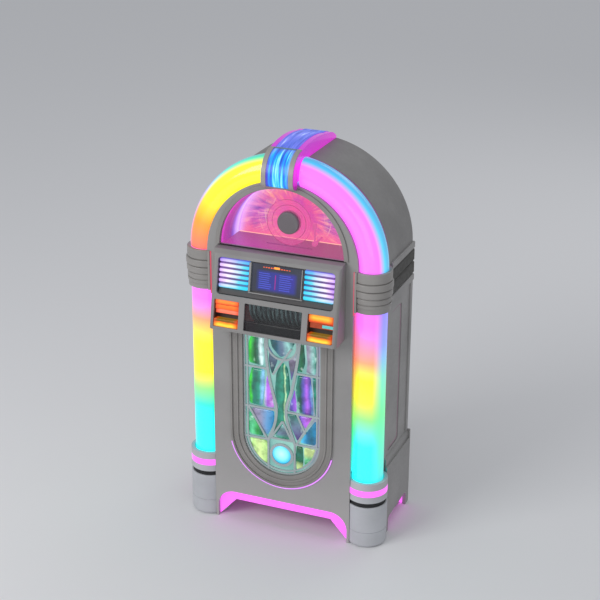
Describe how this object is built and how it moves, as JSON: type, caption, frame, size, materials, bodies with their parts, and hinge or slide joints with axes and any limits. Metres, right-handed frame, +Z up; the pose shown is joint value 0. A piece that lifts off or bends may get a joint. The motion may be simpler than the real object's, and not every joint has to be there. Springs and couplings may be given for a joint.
{
  "type": "jukebox",
  "caption": "Free-standing arched jukebox with lit tubes round the front, a display dome with an upright turntable, a selector housing, an art-glass grille and a hinged back door.",
  "frame": {"origin": "on the floor under the middle of the cabinet's overall box", "axes": "+X to the right of someone facing the jukebox, +Y to the back, +Z up"},
  "size_m": [0.813, 0.494, 1.5415],
  "materials": {
    "body_paint": "satin",
    "trim_paint": "satin",
    "dark_trim": "satin",
    "rubber": "matte",
    "lit_tube": "gloss",
    "pink_lens": "gloss",
    "crown_plastic": "gloss",
    "blue_lens": "gloss",
    "dome_plastic": "satin",
    "clear": "clear",
    "white_board": "matte",
    "board": "matte",
    "metal": "brushed",
    "record_vinyl": "satin",
    "hub_grey": "satin",
    "screen": "gloss",
    "bar_lens": "gloss",
    "key_orange": "gloss",
    "digit_display": "gloss",
    "frame_plastic": "matte",
    "art_glass": "gloss",
    "leading": "satin",
    "jewel": "gloss",
    "speaker_cone": "matte",
    "cast": "satin",
    "back_paint": "matte",
    "zinc": "satin",
    "black_plastic": "matte"
  },
  "bodies": {
    "cabinet": {"front_panel": "body_paint", "left_side_panel": "body_paint", "right_side_panel": "body_paint", "top_shell": "body_paint", "rear_arch_panel": "back_paint", "cabinet_shelves": "board", "tube_reflectors": "white_board", "plinth_boards": "body_paint", "side_bands": "body_paint", "band_ribs": "dark_trim", "left_foot": "body_paint", "right_foot": "body_paint", "foot_spacers": "rubber", "foot_rings": "body_paint", "pilaster_tubes": "lit_tube", "arch_tubes": "lit_tube", "left_collar": "trim_paint", "right_collar": "trim_paint", "crown_body": "crown_plastic", "crown_frame": "trim_paint", "crown_lens": "blue_lens", "dome_ring": "trim_paint", "dome_liner": "dome_plastic", "dome_back": "dome_plastic", "clear_windows": "clear", "turntable_drive": "metal", "housing_shell": "body_paint", "display_bezel": "frame_plastic", "title_screen": "screen", "light_grilles": "bar_lens", "key_frames": "frame_plastic", "credit_display": "digit_display", "records": "record_vinyl", "record_rack": "black_plastic", "gripper_rails": "metal", "grille_trim": "trim_paint", "grille_glass": "art_glass", "grille_came": "leading", "grille_jewel": "jewel", "accent_lights": "pink_lens", "skirt_lights": "pink_lens", "speaker_baffle": "board", "speakers": "speaker_cone", "amplifier": "cast", "door_hinges": "zinc", "power_inlet": "black_plastic"},
    "turntable": {"turntable_platter": "hub_grey", "playing_record": "dome_plastic", "record_clamp": "hub_grey"},
    "tonearm": {"tonearm": "metal"},
    "gripper": {"record_gripper": "cast"},
    "key_left_upper": {"key_left_upper": "key_orange"},
    "key_left_lower": {"key_left_lower": "key_orange"},
    "key_right_upper": {"key_right_upper": "key_orange"},
    "key_right_lower": {"key_right_lower": "key_orange"},
    "back_door": {"back_door": "back_paint", "door_fittings": "zinc"},
    "lock": {"lock_cam": "zinc"},
    "switch_rocker": {"power_switch": "black_plastic"}
  },
  "joints": [
    {"name": "turntable_spin", "type": "hinge", "parent": "cabinet", "child": "turntable", "pos_m": [0, -0.078, 1.242], "axis": [0, 1, 0], "continuous": true},
    {"name": "tonearm_swing", "type": "hinge", "parent": "cabinet", "child": "tonearm", "pos_m": [0.095, -0.062, 1.168], "axis": [0, -1, 0], "range_deg": [0, 25]},
    {"name": "gripper_travel", "type": "slide", "parent": "cabinet", "child": "gripper", "axis": [1, 0, 0], "range_m": [-0.09, 0.09]},
    {"name": "key_left_upper_press", "type": "slide", "parent": "cabinet", "child": "key_left_upper", "axis": [0, 0.9846, -0.1746], "range_m": [0, 0.004], "stiffness_N_per_m": 600, "springref_m": -0.002},
    {"name": "key_left_lower_press", "type": "slide", "parent": "cabinet", "child": "key_left_lower", "axis": [0, 0.9846, -0.1746], "range_m": [0, 0.004], "stiffness_N_per_m": 600, "springref_m": -0.002},
    {"name": "key_right_upper_press", "type": "slide", "parent": "cabinet", "child": "key_right_upper", "axis": [0, 0.9846, -0.1746], "range_m": [0, 0.004], "stiffness_N_per_m": 600, "springref_m": -0.002},
    {"name": "key_right_lower_press", "type": "slide", "parent": "cabinet", "child": "key_right_lower", "axis": [0, 0.9846, -0.1746], "range_m": [0, 0.004], "stiffness_N_per_m": 600, "springref_m": -0.002},
    {"name": "back_door_swing", "type": "hinge", "parent": "cabinet", "child": "back_door", "pos_m": [-0.35, 0.239, 0.715], "axis": [0, 0, 1], "range_deg": [0, 110]},
    {"name": "lock_turn", "type": "hinge", "parent": "back_door", "child": "lock", "pos_m": [0.325, 0.228, 0.715], "axis": [0, 1, 0], "range_deg": [0, 90]},
    {"name": "power_rock", "type": "hinge", "parent": "cabinet", "child": "switch_rocker", "pos_m": [-0.25, 0.24, 0.225], "axis": [-1, 0, 0], "range_deg": [0, 20]}
  ]
}
